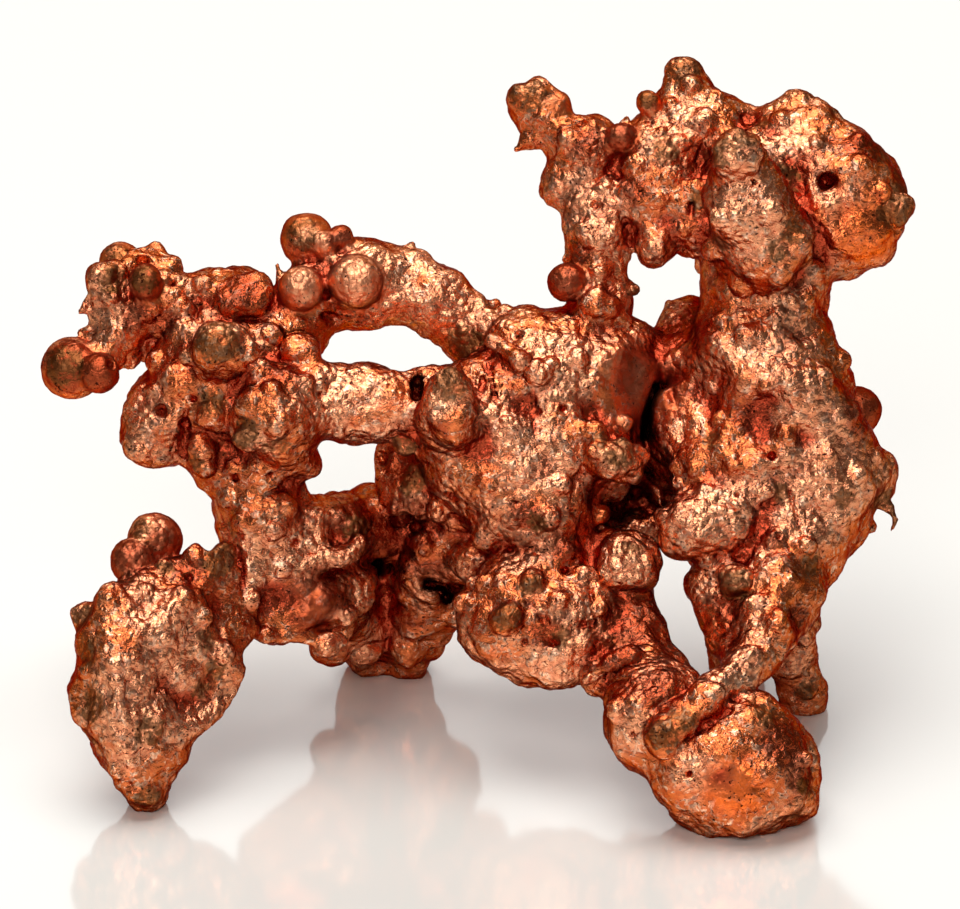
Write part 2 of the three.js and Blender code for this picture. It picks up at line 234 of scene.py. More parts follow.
balls(
    (3.0, 21.0, 3.8, 3.2), (5.6, 20.6, 4.2, 3.0), (3.2, 17.2, 3.0, 3.0), (5.4, 17.4, 3.6, 2.4),
    (1.2, 17.0, 2.8, 2.2), (7.2, 22.0, 4.6, 1.6), (6.5, 17.5, 0.9, 1.5), (7.2, 14.6, 6.5, 2.0),
    (7.0, 17.0, 6.2, 1.6), (1.0, 19.8, 2.4, 2.4), (-0.7, 17.4, 2.4, 2.0), (0.5, 16.2, 2.6, 2.0),
    (3.0, 19.2, 2.9, 2.8), (5.2, 19.2, 3.6, 2.6), (3.4, 14.8, 2.6, 2.2), (1.2, 18.0, 2.2, 2.4),
    (1.2, 15.6, 2.5, 2.1),
)
grow((0.0, 18.4, 2.2, 2.1), (2.2, 15.2, 2.4, 2.2), flow=1.5)
balls((3.0, 21.0, 0.4, 0.65), flow=CREASE)
grow((0.9, 22.4, 1.0, 0.5), (2.0, 21.6, 0.4, 0.52), flow=CREASE)
grow((3.2, 15.0, 3.2, 2.2), (3.2, 11.5, 2.6, 2.4))
balls((2.2, 9.9, 2.0, 3.0), (4.0, 9.4, 2.0, 2.9))
grow((6.6, 11.0, 2.6, 1.6), (6.9, 9.0, 1.8, 1.8), (8.2, 6.4, 0.2, 2.0))
balls((6.2, 12.6, 2.4, 1.2))
balls((7.05, 12.3, 1.3, 1.45), flow=NECK)
balls((1.5, 9.8, -0.9, 0.85), (2.6, 11.4, -0.3, 0.7), flow=CREASE)
balls(
    (-2.8, 15.8, 4.6, 1.6), (-0.4, 15.6, 4.6, 2.0), (-1.6, 13.4, 6.6, 2.0), (-4.4, 13.4, 7.0, 1.1),
    (-6.0, 14.0, 6.4, 1.35), (-6.5, 11.0, 7.6, 1.8), (-3.8, 11.7, 8.6, 0.9), (-2.0, 12.1, 7.2, 1.5),
    (-6.8, 8.5, 9.4, 1.0), (8.7, 15.4, 7.6, 1.8), (5.7, 13.4, 5.2, 1.4), (0.2, 12.6, 5.2, 1.5),
    (-4.7, 12.2, 9.2, 1.3), (-6.3, 13.7, 4.6, 1.75), (-7.8, 13.8, 3.6, 1.6), (-4.7, 14.2, 6.2, 1.8),
    (-3.3, 16.9, 4.8, 1.4), (-1.3, 10.7, 9.8, 1.5),
)
grow((-1.8, 12.6, 7.6, 2.0), (-2.4, 10.4, 9.8, 1.8), (-3.0, 9.1, 11.4, 1.6), (-3.3, 8.0, 13.0, 1.3))
grow((-6.5, 11.0, 7.6, 1.8), (-5.4, 9.6, 10.4, 1.5), (-5.0, 7.9, 12.9, 1.15))

# the block beside the left neck, with its flat front and sharp top edge
balls((-8.6, 10.7, 3.4, 1.9), (-7.2, 10.8, 4.6, 1.9), (-6.0, 10.9, 5.4, 1.6))
grow((-8.6, 11.6, 1.7, 0.55), (-6.8, 12.4, 2.5, 0.55), (-5.3, 12.9, 3.2, 0.5), flow=NECK)
grow((-9.6, 9.0, 2.2, 0.4), (-6.2, 8.7, 3.6, 0.4), flow=NECK)
scoops += [(-6.9, 10.6, -3.6, 5.9)]
calm_spots += [(-7.0, 10.4, 0.6), (7.4, 20.4, 1.4)]
grow((-2.6, 10.8, 8.0, 0.6), (-3.5, 8.4, 10.4, 0.6), flow=NECK)
scoops += [(8.6, 20.2, -0.9, 3.4)]

small_knobs += [
    (3.45, 21.4, 0.4), (2.0, 20.2, 0.5), (3.6, 22.6, 0.5), (4.6, 21.6, 0.5), (1.6, 18.7, 0.6),
    (3.4, 17.9, 0.6), (4.8, 18.4, 0.55), (2.2, 16.4, 0.6), (3.8, 15.9, 0.6), (0.6, 16.0, 0.5),
    (5.6, 18.4, 0.6), (6.9, 18.6, 0.55), (7.5, 17.4, 0.6), (6.3, 16.7, 0.65), (7.3, 16.4, 0.5),
    (5.7, 17.5, 0.5), (6.7, 17.6, 0.6), (3.8, 10.5, 0.6), (5.7, 10.1, 0.5), (0.4, 13.5, 0.65),
    (4.1, 12.8, 0.4), (2.2, 13.6, 0.6), (3.4, 14.4, 0.5), (4.9, 11.6, 0.6), (0.4, 11.3, 0.45),
    (-0.4, 10.6, 0.5), (4.9, 8.6, 0.5), (2.8, 8.0, 0.5), (0.6, 8.4, 0.5), (6.0, 8.9, 0.45),
    (5.2, 13.2, 0.4), (-1.0, 9.9, 0.6), (-0.2, 11.5, 0.4), (-2.8, 16.3, 0.7), (-1.6, 14.8, 0.6),
    (-3.6, 14.9, 0.5), (-6.4, 14.4, 0.5), (-5.4, 13.2, 0.5), (-7.2, 10.6, 0.6), (-6.0, 9.9, 0.6),
    (-6.8, 8.5, 0.7), (-5.0, 8.1, 0.8), (-3.3, 8.4, 0.6), (-2.3, 13.2, 0.6), (-3.0, 12.2, 0.5),
    (6.8, 23.4, 0.4), (5.2, 23.0, 0.4), (1.4, 23.8, 0.4),
]
holes += [
    (2.0, 22.7, 0.3), (4.0, 19.4, 0.2), (2.9, 19.2, 0.18), (3.6, 8.65, 0.28), (2.3, 8.7, 0.2),
    (4.1, 12.0, 0.2), (-1.1, 15.4, 0.3), (-3.4, 14.3, 0.35), (-4.3, 17.0, 0.3), (6.3, 15.0, 1.2),
    (7.6, 15.1, 1.0), (8.1, 14.6, 0.6), (-4.8, 12.3, 0.25), (-2.7, 13.9, 0.3), (1.6, 12.9, 0.18),
    (5.0, 9.5, 0.18),
]
cracks += [
    (2.6, 20.1, 2.7, 18.3, 0.12), (0.5, 21.6, 1.0, 19.6, 0.12), (2.4, 10.6, 3.3, 9.6, 0.14),
    (-5.1, 9.7, -4.6, 8.4, 0.15), (5.3, 11.5, 5.4, 9.3, 0.14), (1.4, 15.2, 4.6, 14.6, 0.13),
    (4.9, 16.8, 4.4, 15.0, 0.14),
]
gaps += [
    (-2.2, 11.3, -0.9, 11.1, 0.3, 1.5), (-1.7, 10.9, -1.3, 10.6, 0.25, 1.5),
    (-4.5, 12.5, -4.7, 10.0, 0.26, 1.8), (8.25, 20.4, 7.7, 18.1, 0.22, 2.0),
    (-2.6, 20.8, -2.7, 19.9, 0.1, 1.0),
]

# small beads in the deep pocket at the right of the middle: across, up, radius
pocket_beads = [(5.6, 14.5, 0.42), (6.6, 14.9, 0.3), (7.4, 15.5, 0.36), (7.6, 14.4, 0.3), (6.4, 14.0, 0.3)]
tarnish_spots += [
    (2.5, 11.5, 0.55), (1.4, 9.9, 0.75), (6.6, 17.4, 0.8), (-2.9, 16.2, 0.6), (6.0, 17.9, 0.5),
    (2.9, 14.2, 0.4), (-5.4, 14.0, 0.6), (4.0, 8.9, 0.4), (7.2, 13.0, 0.4),
]
# some of these are painted shade, such as the big one on the shaded block beside the left neck
film_and_shade_spots += [
    (7.2, 9.6, 1.2), (6.6, 8.2, 0.9), (-7.2, 10.6, 1.5), (2.4, 14.6, 0.5), (4.0, 13.4, 0.4),
    (-3.2, 12.8, 0.9), (4.1, 12.8, 0.4), (6.9, 15.3, 1.6), (-2.8, 14.2, 1.2), (-4.4, 12.6, 0.9),
    (-1.8, 11.8, 0.8), (7.6, 21.0, 1.1), (3.2, 9.0, 0.5), (-5.6, 14.2, 0.8), (8.2, 18.8, 0.8),
    (-3.4, 9.8, 0.6),
]
worn_and_lit_spots += [
    (-6.2, 8.9, 0.7), (-3.9, 8.9, 0.7), (3.6, 21.6, 0.9), (1.9, 18.4, 1.0), (3.4, 16.6, 0.9),
    (3.6, 7.6, 0.8), (6.6, 12.4, 0.8),
]


# ---------------------------------------------------------------------------------------------------
# Front foot and back spike
# The heavy rounded foot that the nugget stands on, the slanting arm that crosses it, and the thin spike
# that reaches the ground behind.
# ---------------------------------------------------------------------------------------------------

floor_glow_spots = []            # where an orange glow of the lit floor's reflection is painted on: across, up, radius

balls(
    (12.1, 3.45, -2.1, 3.2), (12.9, 3.2, -1.8, 2.6), (10.4, 3.4, -2.4, 2.6), (8.4, 5.2, -1.6, 2.7),
)
balls((13.6, 1.8, -1.8, 1.5), (10.6, 1.9, -1.5, 1.7), flow=1.8)
grow((5.8, 7.0, -0.2, 1.0), (7.2, 7.3, -0.2, 1.2))
grow(
    (8.6, 4.5, -4.4, 1.0), (10.4, 6.2, -4.0, 0.85), (12.0, 7.4, -2.6, 1.0), (13.5, 9.3, -0.4, 1.5),
    (14.0, 11.5, 1.6, 2.2), flow=NECK,
)
grow((14.8, 11.5, 4.5, 1.6), (14.8, 10.4, 6.0, 1.15), (14.7, 8.0, 8.2, 1.0), (15.3, 5.9, 9.6, 1.0))
grow((5.1, 7.1, -1.2, 0.4), (6.2, 7.8, -1.6, 0.4), (7.2, 8.0, -1.6, 0.5), flow=NECK)

small_knobs += [
    (8.3, 4.6, 0.5), (14.9, 3.4, 0.4), (13.6, 9.6, 0.6), (12.6, 8.2, 0.5), (15.4, 6.4, 0.5),
    (15.2, 8.8, 0.4), (6.6, 5.6, 0.5), (7.9, 6.3, 0.4), (10.9, 6.5, 0.4),
]
holes += [(9.7, 2.8, 0.24), (13.4, 5.9, 0.16), (7.2, 4.6, 0.14), (12.9, 6.4, 0.18)]
cracks += [(9.6, 4.4, 11.6, 5.7, 0.16), (8.0, 5.7, 10.4, 7.3, 0.14), (5.6, 6.6, 7.0, 7.0, 0.13)]
tarnish_spots += [(8.4, 4.6, 0.9), (9.4, 5.3, 0.5), (15.0, 2.2, 0.5), (14.4, 0.7, 0.5), (13.0, 5.4, 0.5)]
film_and_shade_spots += [(8.6, 6.6, 0.9), (14.1, 4.2, 0.9), (14.8, 2.6, 0.6), (6.8, 6.6, 0.6)]
worn_and_lit_spots += [(6.8, 4.4, 0.6), (11.6, 7.0, 0.6), (10.4, 2.6, 0.8)]
floor_glow_spots += [(11.8, 2.2, 1.1)]
calm_spots += [(11.6, 2.4, 0.3)]


# ---------------------------------------------------------------------------------------------------
# Right mass
# The biggest body of metal, with a ridge across its front and a pointed right side. It is grown in one
# with the foot below it and the head above.
# ---------------------------------------------------------------------------------------------------

balls(
    (13.2, 21.4, 4.0, 3.6), (12.6, 17.4, 3.4, 3.6), (15.6, 16.4, 3.8, 3.3), (14.2, 13.6, 3.2, 3.1),
    (11.4, 14.6, 2.0, 2.4), (9.9, 13.8, 0.8, 1.5), (12.0, 11.8, 2.4, 1.7), (18.2, 16.3, 4.0, 1.2),
    (10.5, 18.8, 2.9, 2.3), (15.2, 20.6, 4.2, 2.3), (10.9, 16.8, 2.6, 2.1), (16.0, 14.4, 3.8, 2.0),
    (15.8, 17.9, 1.9, 1.5), (13.9, 10.6, 1.2, 1.6), (9.6, 17.5, 4.6, 2.0), (18.4, 16.2, 4.0, 1.1),
    (9.6, 21.6, 4.2, 1.3), (10.0, 22.9, 6.0, 1.7),
)
grow((11.6, 11.4, 1.8, 1.8), (11.9, 9.6, 0.8, 1.5), (12.5, 8.0, -0.8, 1.2))
grow((11.6, 20.8, 1.4, 1.3), (14.4, 20.2, 1.1, 1.3), (16.8, 18.9, 2.0, 1.1), flow=1.2)
grow((15.5, 19.0, 5.5, 1.4), (16.6, 19.2, 6.0, 1.0))
beads((17.7, 19.3, 6.4, 1.15))
balls((12.0, 11.4, 0.0, 0.85), (13.7, 13.4, 0.3, 0.6), flow=CREASE)

# the thin hook that hangs off the right-hand point, and the jagged edge beside it
grow(
    (18.6, 15.3, 4.0, 0.45), (19.1, 14.8, 3.9, 0.25), (19.4, 14.3, 3.8, 0.2), (19.2, 13.8, 3.8, 0.14),
    flow=CREASE,
)
grow((17.4, 14.3, 4.0, 0.7), (18.2, 14.0, 4.0, 0.3), flow=CREASE)
scoops += [(12.7, 18.7, -1.8, 2.3), (15.4, 16.0, -4.3, 3.6)]

small_knobs += [
    (9.3, 16.7, 0.45), (10.2, 16.5, 0.5), (9.4, 16.0, 0.4), (10.6, 15.8, 0.4), (12.6, 22.6, 0.6),
    (14.6, 22.0, 0.6), (15.9, 20.8, 0.5), (10.9, 20.4, 0.5), (13.4, 20.4, 0.5), (14.2, 18.2, 0.5),
    (16.2, 17.4, 0.5), (17.4, 16.4, 0.5), (15.8, 15.2, 0.6), (13.2, 15.6, 0.6), (12.2, 13.8, 0.5),
    (15.0, 13.0, 0.6), (10.6, 12.4, 0.5), (8.7, 14.4, 0.5), (16.6, 14.4, 0.5), (14.4, 11.4, 0.5),
    (12.9, 10.3, 0.5), (11.2, 18.9, 0.45), (9.2, 18.9, 0.5), (16.8, 21.6, 0.4), (11.8, 16.7, 0.5),
    (18.3, 17.2, 0.4), (10.1, 13.6, 0.5), (13.9, 23.6, 0.5), (11.4, 23.4, 0.5),
]
holes += [
    (11.2, 13.0, 0.18), (13.6, 17.2, 0.2), (13.9, 13.5, 0.16), (8.9, 15.3, 0.35), (12.0, 15.4, 0.18),
]
cracks += [
    (11.9, 12.6, 13.2, 12.2, 0.12), (9.0, 20.2, 9.6, 18.0, 0.16), (11.2, 15.2, 12.4, 14.4, 0.12),
    (14.4, 15.6, 15.0, 13.6, 0.12), (13.2, 11.2, 13.6, 9.8, 0.13),
]
tarnish_spots += [
    (11.8, 11.4, 0.7), (18.9, 15.0, 0.6), (10.9, 18.0, 0.4), (14.0, 15.6, 0.3), (16.8, 15.4, 0.5),
    (19.2, 14.0, 0.5), (15.4, 12.2, 0.5), (17.0, 19.9, 0.3), (15.4, 6.2, 0.4),
]
film_and_shade_spots += [
    (13.7, 13.4, 0.3), (17.7, 19.3, 0.9), (12.4, 19.2, 0.5), (11.5, 10.2, 0.7), (9.2, 14.8, 0.7),
    (10.6, 22.8, 0.9), (14.9, 9.6, 0.6), (9.4, 19.6, 0.7),
]
worn_and_lit_spots += [
    (10.2, 19.2, 0.8), (15.9, 18.0, 0.7), (14.0, 19.6, 0.9), (12.4, 21.6, 1.0), (9.8, 13.9, 1.0),
    (15.4, 17.2, 1.2), (12.2, 14.8, 1.0), (15.6, 14.4, 1.0), (12.4, 12.8, 0.8), (17.2, 16.0, 0.8),
    (13.8, 16.0, 0.8),
]


# ---------------------------------------------------------------------------------------------------
# Head
# The high right-hand end, of the same solid metal: a big dome with a blunt boss in front, and a
# branching crest to its left.
# ---------------------------------------------------------------------------------------------------

grow((13.3, 23.5, 4.0, 3.1), (13.4, 25.8, 4.0, 3.0))
balls(
    (16.5, 29.3, 4.2, 3.3), (17.0, 28.1, 4.4, 2.8), (15.2, 31.4, 4.2, 2.2), (14.0, 32.0, 4.4, 1.7),
    (13.2, 29.5, 4.2, 3.2),
)
grow((13.2, 27.1, 1.6, 2.4), (13.2, 27.2, 0.4, 2.2), (12.4, 29.0, -0.8, 2.0), flow=NECK)
grow((12.2, 30.0, -1.0, 1.2), (12.0, 30.9, -2.4, 1.15), flow=CREASE)
grow(
    (13.6, 32.2, 4.2, 1.1), (14.8, 33.1, 4.2, 1.0), (15.8, 33.1, 4.1, 0.65), (16.5, 33.0, 4.0, 0.4),
    flow=NECK,
)
balls((19.4, 28.5, 2.6, 0.75), flow=CREASE)
balls((16.5, 32.95, 3.9, 0.45), (11.4, 30.6, -1.6, 0.5), flow=CREASE)
grow((10.0, 32.4, 4.8, 2.0), (9.75, 34.75, 5.0, 0.72))
grow((10.4, 33.4, 4.8, 1.2), (12.0, 32.6, 4.6, 0.9))
balls(
    (11.5, 32.0, 4.6, 1.7), (8.6, 31.0, 4.6, 2.2), (8.0, 29.2, 4.2, 1.8), (5.8, 28.4, 4.2, 1.75),
    (5.2, 31.3, 4.4, 1.6), (4.2, 29.8, 4.4, 1.3), (10.2, 28.6, 4.2, 2.2), (8.3, 27.6, 3.6, 1.1),
)
grow((5.2, 31.3, 4.4, 1.6), (3.6, 32.4, 4.6, 1.0), (2.7, 33.6, 4.8, 1.15))
grow((5.6, 27.2, 4.0, 1.5), (5.7, 25.4, 3.8, 1.2), (5.8, 24.0, 3.8, 1.3), (5.4, 22.4, 4.0, 1.6))
grow((8.2, 32.4, 4.0, 0.4), (7.95, 33.4, 3.7, 0.35), flow=CREASE)
beads((3.6, 33.3, 4.4, 0.85), (4.2, 25.2, 2.8, 0.9), (7.95, 33.5, 3.7, 0.58), (6.7, 31.9, 3.1, 0.7))
balls((8.3, 26.9, 3.0, 1.0))
balls((5.7, 24.2, 2.6, 0.95), flow=NECK)

# thin flakes and spikes around the crest
grow((2.7, 31.8, 4.4, 0.55), (1.95, 31.35, 4.3, 0.2), flow=CREASE)
grow((4.9, 26.4, 3.8, 0.55), (4.1, 26.3, 3.7, 0.15), flow=CREASE)
grow((6.3, 25.1, 3.6, 0.6), (7.3, 24.9, 3.6, 0.18), flow=CREASE)
grow((6.9, 32.2, 4.0, 0.4), (7.0, 32.9, 3.9, 0.15), flow=CREASE)

small_knobs += [
    (6.0, 29.7, 0.65), (7.4, 30.6, 0.65), (9.0, 30.0, 0.65), (6.4, 27.5, 0.6), (5.2, 30.1, 0.55),
    (8.6, 28.9, 0.55), (9.3, 31.6, 0.55), (8.6, 32.1, 0.4), (10.5, 32.5, 0.7), (4.4, 31.9, 0.6),
    (5.6, 32.3, 0.5), (4.6, 28.9, 0.5), (5.0, 27.7, 0.5), (7.5, 28.2, 0.5), (6.8, 26.6, 0.5),
    (5.8, 25.6, 0.5), (10.0, 34.2, 0.5), (9.1, 33.2, 0.5), (2.2, 34.0, 0.5), (3.1, 32.8, 0.45),
    (14.0, 32.6, 0.6), (13.0, 32.0, 0.6), (15.8, 31.5, 0.5), (17.6, 30.4, 0.6), (18.6, 29.3, 0.5),
    (14.8, 28.9, 0.5), (16.6, 27.2, 0.5), (13.8, 25.6, 0.6), (12.2, 25.2, 0.6), (15.2, 24.6, 0.5),
    (11.0, 26.6, 0.6), (10.3, 29.6, 0.5), (9.6, 27.6, 0.5), (14.7, 26.9, 0.5), (17.6, 31.6, 0.4),
    (11.2, 33.8, 0.4), (13.4, 28.4, 0.6), (11.2, 28.2, 0.6), (15.6, 25.8, 0.5), (11.9, 31.7, 0.5),
    (7.0, 29.4, 0.5), (3.0, 33.9, 0.4),
]
holes += [
    (16.1, 29.8, 0.5), (5.6, 28.75, 0.2), (7.6, 29.4, 0.2), (12.9, 31.1, 0.2), (11.0, 29.4, 0.2),
    (4.9, 32.6, 0.18),
]
cracks += [
    (11.2, 29.5, 12.9, 29.7, 0.12), (10.4, 31.6, 9.9, 28.4, 0.13), (14.4, 30.8, 14.8, 28.6, 0.2),
    (6.6, 30.9, 5.2, 29.3, 0.14), (12.6, 33.0, 13.0, 31.4, 0.16), (15.4, 27.6, 16.0, 25.6, 0.14),
    (4.9, 26.9, 6.3, 26.3, 0.13),
]
tarnish_spots += [
    (11.3, 31.0, 0.6), (12.3, 31.8, 0.5), (14.4, 27.4, 0.5), (13.8, 26.6, 0.4), (10.4, 29.0, 0.4),
    (11.2, 27.0, 0.4), (14.4, 30.0, 0.6), (2.4, 34.0, 0.8), (16.5, 33.0, 0.5), (19.4, 28.5, 0.8),
    (9.8, 35.0, 0.7), (8.0, 33.7, 0.4), (19.5, 29.8, 0.8), (18.6, 31.2, 0.6), (15.4, 33.9, 0.4),
    (7.2, 24.9, 0.3), (8.8, 31.3, 0.5), (13.2, 32.6, 0.4),
]
film_and_shade_spots += [
    (4.2, 25.2, 0.8), (6.7, 31.9, 0.6), (16.1, 29.8, 0.6), (10.4, 30.6, 0.4), (6.2, 28.4, 0.5),
    (18.1, 19.4, 0.9), (15.0, 30.8, 0.5), (4.9, 26.6, 0.5), (7.4, 29.4, 0.5), (17.9, 31.4, 0.7),
    (5.2, 31.6, 0.5),
]
worn_and_lit_spots += [
    (12.2, 28.0, 1.4), (12.3, 30.7, 0.5), (10.0, 33.6, 0.7), (14.6, 32.0, 0.8), (16.2, 27.9, 1.0),
    (6.1, 27.9, 0.6), (18.4, 29.4, 0.8), (5.8, 24.6, 0.6),
]
floor_glow_spots += [(17.9, 27.5, 1.3), (18.3, 29.2, 0.5), (15.6, 28.0, 0.4)]


# ---------------------------------------------------------------------------------------------------
# Far side
# The side away from the viewer: the same kind of metal, thick behind the big lobes, with short stubs and
# beads of its own and a back leg.
# ---------------------------------------------------------------------------------------------------

balls(
    (4.5, 19.3, 7.4, 2.8), (13.2, 17.6, 8.0, 3.2), (14.2, 29.2, 7.8, 3.0), (-11.8, 21.0, 6.6, 2.8),
    (9.0, 18.8, 6.8, 2.2), (13.2, 23.8, 7.0, 2.6), (8.8, 29.8, 6.8, 1.9), (12.6, 13.2, 7.2, 2.5),
    (-9.6, 14.6, 5.4, 1.6),
)
grow((12.6, 13.2, 7.2, 2.5), (12.5, 10.6, 9.8, 1.6), (12.3, 7.8, 13.0, 1.25))
grow((3.6, 20.4, 8.6, 1.8), (2.4, 21.4, 11.0, 1.3))
grow((-12.4, 20.4, 8.4, 1.7), (-13.6, 19.2, 10.2, 1.2))
grow((12.8, 27.4, 9.6, 1.8), (11.4, 26.4, 11.4, 1.25))
beads(
    (-9.5, 20.0, 8.6, 1.2), (6.4, 21.4, 9.6, 1.3), (15.6, 21.6, 9.2, 1.3), (11.4, 16.4, 11.0, 1.4),
    (3.2, 17.2, 9.8, 1.4), (-13.4, 23.0, 8.2, 1.2), (16.2, 30.4, 10.0, 1.3), (14.9, 15.4, 10.2, 1.1),
    (0.4, 13.8, 8.6, 1.2), (-8.6, 12.4, 6.6, 1.0),
)


# ---------------------------------------------------------------------------------------------------
# Skin and metal
# All the lobes are one piece of metal, so they are joined in one field of distances and skinned once.
# The skin is then roughened as natural copper is, and coloured: bright where it is worn and where
# highlights are painted, red in the hollows as patina and painted shade, red on the beads, brown and
# olive tarnish on the knobs, painted shade at the rims and in the deep gaps, and a painted reflection
# of the lit floor.
# ---------------------------------------------------------------------------------------------------

LEAN = math.radians(25)      # how far the face leans back from upright
REST_LEVEL = 0.85            # height of the resting plane in the face's own frame
CENTRE_BACK = 9.65           # from the face's foot back to the middle of the nugget
GRAIN = 0.14                 # edge of the cells that the field is held on, mm
REACH = 1.0                  # how far outside a lobe its distances are still kept, mm
SEAT = 0.35                  # share of a small knob's radius that is sunk in the metal
BACK_HALF = 5.5              # depth on the face beyond which the metal is the far side, mm
SCATTERED_KNOBS = 150        # knobs of all sizes on the far side
LEAST_KNOB = 0.3             # radius of the smallest of them, mm
KNOB_RANGE = 0.6             # how much bigger the biggest of them is, mm
BACK_SEAT = 0.5              # share of their radius that is sunk in the metal
PIT_DEPTH = 1.4              # how far in a pit goes, in its own radii
PIT_BOTTOM = 0.6             # radius of a pit's bottom, in the same
GAP_CUTS = 9                 # cuts along a deep gap
WAVE_BLOCK = 48              # random waves repeat after this many of their own lengths
MOST_FACES = 196000
METRE = 0.001                # metres in a millimetre

lowest = np.array([-21.0, -7.0, -1.0], dtype=np.float32)
highest = np.array([21.0, 15.5, 36.8], dtype=np.float32)
cells = np.ceil((highest - lowest) / GRAIN).astype(int)
field = np.full(cells, REACH, dtype=np.float32)


def spread(start, end, radius_start, radius_end, reach):
    """The cells near one lobe, and each one's distance to its surface."""
    most = max(radius_start, radius_end) + reach
    first = np.maximum(((np.minimum(start, end) - most - lowest) / GRAIN).astype(int), 0)
    last = np.minimum(((np.maximum(start, end) + most - lowest) / GRAIN).astype(int) + 2, cells)
    window = tuple(slice(a, b) for a, b in zip(first, last))
    axes = [lowest[i] + GRAIN * np.arange(first[i], last[i], dtype=np.float32) - start[i] for i in range(3)]
    x, y, z = axes[0][:, None, None], axes[1][None, :, None], axes[2][None, None, :]
    span = end - start
    length2 = float(span @ span)
    along = np.clip((x * span[0] + y * span[1] + z * span[2]) / length2, 0, 1) if length2 else 0.0
    away = (x - along * span[0]) ** 2 + (y - along * span[1]) ** 2 + (z - along * span[2]) ** 2
    return window, np.sqrt(away) - (radius_start + (radius_end - radius_start) * along)


def add_metal(start, end, radius_start, radius_end, blend):
    window, distance = spread(start, end, radius_start, radius_end, REACH + blend)
    near = field[window]
    overlap = np.maximum(blend - np.abs(near - distance), 0) / blend
    field[window] = np.minimum(near, distance) - overlap * overlap * blend / 4


def take_metal(start, end, radius_start, radius_end, blend):
    window, distance = spread(start, end, radius_start, radius_end, blend)
    near = field[window]
    overlap = np.maximum(blend - np.abs(near + distance), 0) / blend
    field[window] = np.maximum(near, -distance) + overlap * overlap * blend / 4


def on_front(across, up):
    """The spot where the metal is first met from the front."""
    i, k = (round((value - low) / GRAIN) for value, low in ((across, lowest[0]), (up, lowest[2])))
    column = field[i, :, k]
    met = np.argmax(column < 0) if column.min() < 0 else np.argmin(column)
    return np.array([across, lowest[1] + GRAIN * met, up], dtype=np.float32)


def read_cells(values, spots, step):
    """Values held on cells of one size, read at any spot between them."""
    place = (spots - lowest) / step
    corner = np.floor(place).astype(int)
    share = place - corner
    total = np.zeros(len(spots), dtype=np.float32)
    for i, j, k in np.ndindex(2, 2, 2):
        weight = np.abs(1 - i - share[:, 0]) * np.abs(1 - j - share[:, 1]) * np.abs(1 - k - share[:, 2])
        total += weight * values[tuple((corner + (i, j, k)).T)]
    return total


def outward(spots):
    """Which way is out of the metal, from how the distances change across each cell."""
    slopes = []
    for axis in range(3):
        step = np.zeros(3)
        step[axis] = GRAIN
        slopes.append(read_cells(field, spots + step, GRAIN) - read_cells(field, spots - step, GRAIN))
    slope = np.stack(slopes, axis=1)
    return slope / (np.linalg.norm(slope, axis=1, keepdims=True) + 1e-9)


for lobe in lobes:
    add_metal(*lobe)
for across, up, depth, radius in scoops:
    middle = np.array([across, depth, up], dtype=np.float32)
    take_metal(middle, middle, radius, radius, FLOW)
for across, up, radius in small_knobs:
    seat = on_front(across, up) + np.array([0, radius * SEAT, 0], dtype=np.float32)
    add_metal(seat, seat, radius, radius, CREASE)

# more knobs of all sizes, scattered over the back
random = np.random.default_rng(7)
skin_cells = np.argwhere(np.abs(field) < GRAIN / 2)
skin_cells = skin_cells[lowest[1] + GRAIN * skin_cells[:, 1] > BACK_HALF]
for cell in skin_cells[random.integers(0, len(skin_cells), SCATTERED_KNOBS)]:
    spot = (lowest + GRAIN * cell)[None].astype(np.float32)
    radius = LEAST_KNOB + KNOB_RANGE * random.random() ** 2
    seat = (spot - BACK_SEAT * radius * outward(spot))[0].astype(np.float32)
    add_metal(seat, seat, radius, radius, NECK)
for across, up, radius in holes:
    mouth = on_front(across, up)
    bottom = mouth + np.array([0, PIT_DEPTH * radius, 0], dtype=np.float32)
    take_metal(mouth, bottom, radius, PIT_BOTTOM * radius, CREASE)
for across, up, across_end, up_end, radius in cracks:
    take_metal(on_front(across, up), on_front(across_end, up_end), radius, radius, CREASE)

# deep gaps: every cut's mouth is found before the first is made, or each would start inside the last
# spots along each deep gap's walls, where near-black painted shade is laid on
gap_shade_walls = []
for across, up, across_end, up_end, radius, inward in gaps:
    mouths = []
    for share in np.linspace(0, 1, GAP_CUTS):
        mouths.append(on_front(across + share * (across_end - across), up + share * (up_end - up)))
    for mouth in mouths:
        bottom = mouth + np.array([0, inward, 0], dtype=np.float32)
        take_metal(mouth, bottom, radius, radius, CREASE)
        for depth in np.arange(radius, inward, radius):
            gap_shade_walls.append((mouth[0], mouth[2], mouth[1] + depth, radius))
for across, up, radius in pocket_beads:
    add_metal(on_front(across, up), on_front(across, up), radius, radius, CREASE)

grid = openvdb.FloatGrid(REACH)
grid.copyFromArray(field)
cells_met, quads = grid.convertToQuads()


def largest_part(spots, quads):
    """Drops any crumb of metal that a crack has cut loose."""
    label = np.arange(len(spots))
    while True:
        joined = label.copy()
        smallest = label[quads].min(axis=1)
        for corner in range(4):
            np.minimum.at(joined, quads[:, corner], smallest)
        joined = joined[joined]
        if (joined == label).all():
            break
        label = joined
    held = label == np.bincount(label).argmax()
    number = np.cumsum(held) - 1
    return spots[held], number[quads[held[quads[:, 0]]]]


cells_met, quads = largest_part(cells_met, quads.astype(int))
spots = cells_met * GRAIN + lowest


def face_to_stand(spots):
    """From across, depth and up on the leaning face to the standing nugget, still in mm."""
    across, depth, up = spots[:, 0], spots[:, 1], spots[:, 2]
    back = depth * math.cos(LEAN) + up * math.sin(LEAN) - CENTRE_BACK
    high = up * math.cos(LEAN) - depth * math.sin(LEAN) - REST_LEVEL
    return np.stack([across, back, high], axis=1)


